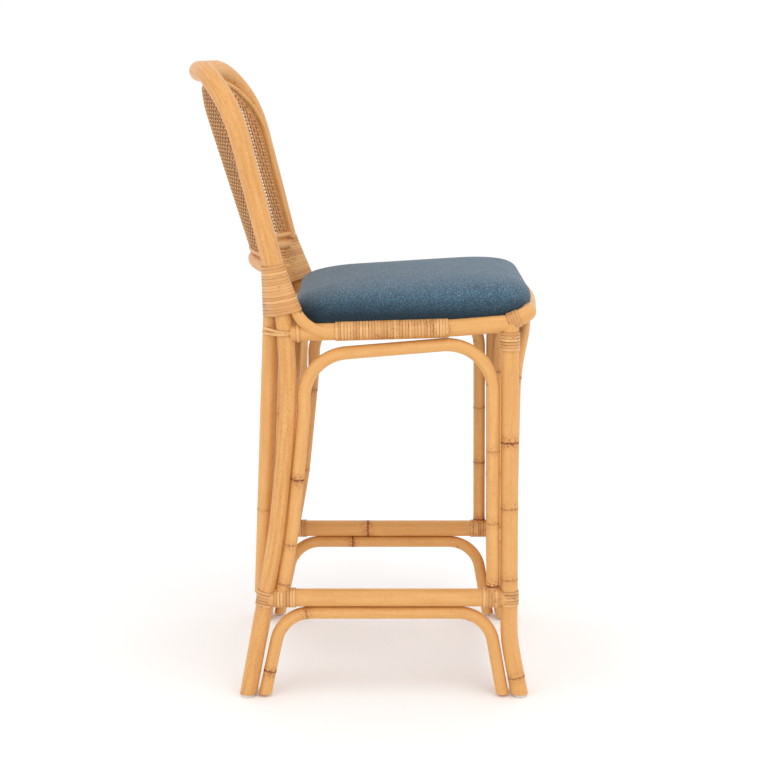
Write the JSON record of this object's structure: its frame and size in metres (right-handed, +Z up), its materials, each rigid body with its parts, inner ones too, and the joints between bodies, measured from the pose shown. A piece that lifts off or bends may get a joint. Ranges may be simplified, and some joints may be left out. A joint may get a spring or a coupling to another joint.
{
  "type": "bar stool",
  "caption": "Rattan bar stool with a bowed caned back, an upholstered seat, bent arch braces and a footrest ring bound to splayed legs.",
  "frame": {"origin": "on the floor under the middle of the stool's bounding box", "axes": "+Z up, -Y the way the sitter faces, +X to the sitter's left"},
  "size_m": [0.4814, 0.6096, 1.09],
  "materials": {
    "skin_rattan": "satin",
    "peeled_rattan": "satin",
    "binding_cane": "satin",
    "woven_cane": "satin",
    "plywood": "matte",
    "foam": "matte",
    "seat_fabric": "matte",
    "dust_cloth": "matte",
    "glide_plastic": "matte",
    "dowel_wood": "matte",
    "screw_steel": "satin"
  },
  "bodies": {
    "root": {"back_cross_rail": "peeled_rattan", "back_hoop": "peeled_rattan", "back_inner_hoop": "peeled_rattan", "back_inner_rail": "peeled_rattan", "cane_panel": "woven_cane", "front_arch": "skin_rattan", "front_footrest": "skin_rattan", "front_leg_left": "skin_rattan", "front_leg_right": "skin_rattan", "glide_front_left": "glide_plastic", "glide_front_right": "glide_plastic", "glide_rear_left": "glide_plastic", "glide_rear_right": "glide_plastic", "joint_dowel_left": "dowel_wood", "joint_dowel_right": "dowel_wood", "knee_brace_left": "skin_rattan", "knee_brace_right": "skin_rattan", "leg_wrap_left": "binding_cane", "leg_wrap_right": "binding_cane", "lower_arch_front": "skin_rattan", "lower_arch_left": "skin_rattan", "lower_arch_rear": "skin_rattan", "lower_arch_right": "skin_rattan", "post_wrap_left": "binding_cane", "post_wrap_right": "binding_cane", "rail_dowel_left": "dowel_wood", "rail_dowel_right": "dowel_wood", "rail_wrap_left": "binding_cane", "rail_wrap_right": "binding_cane", "rear_arch": "skin_rattan", "rear_leg_left": "peeled_rattan", "rear_leg_right": "peeled_rattan", "rear_stay_left": "skin_rattan", "rear_stay_right": "skin_rattan", "rear_stretcher": "skin_rattan", "rear_tie_left": "binding_cane", "rear_tie_right": "binding_cane", "ring_wrap_front_left": "binding_cane", "ring_wrap_front_right": "binding_cane", "ring_wrap_rear_left": "binding_cane", "ring_wrap_rear_right": "binding_cane", "saddle_wrap_left": "binding_cane", "saddle_wrap_right": "binding_cane", "seat_board": "plywood", "seat_cover": "seat_fabric", "seat_dust_cover": "dust_cloth", "seat_foam": "foam", "seat_front_rail": "skin_rattan", "seat_rear_rail": "skin_rattan", "seat_screw_front_left": "screw_steel", "seat_screw_front_right": "screw_steel", "seat_screw_rear_left": "screw_steel", "seat_screw_rear_right": "screw_steel", "seat_side_rail_left": "skin_rattan", "seat_side_rail_right": "skin_rattan", "side_arch_left": "skin_rattan", "side_arch_right": "skin_rattan", "side_stretcher_left": "skin_rattan", "side_stretcher_right": "skin_rattan"}
  },
  "joints": []
}
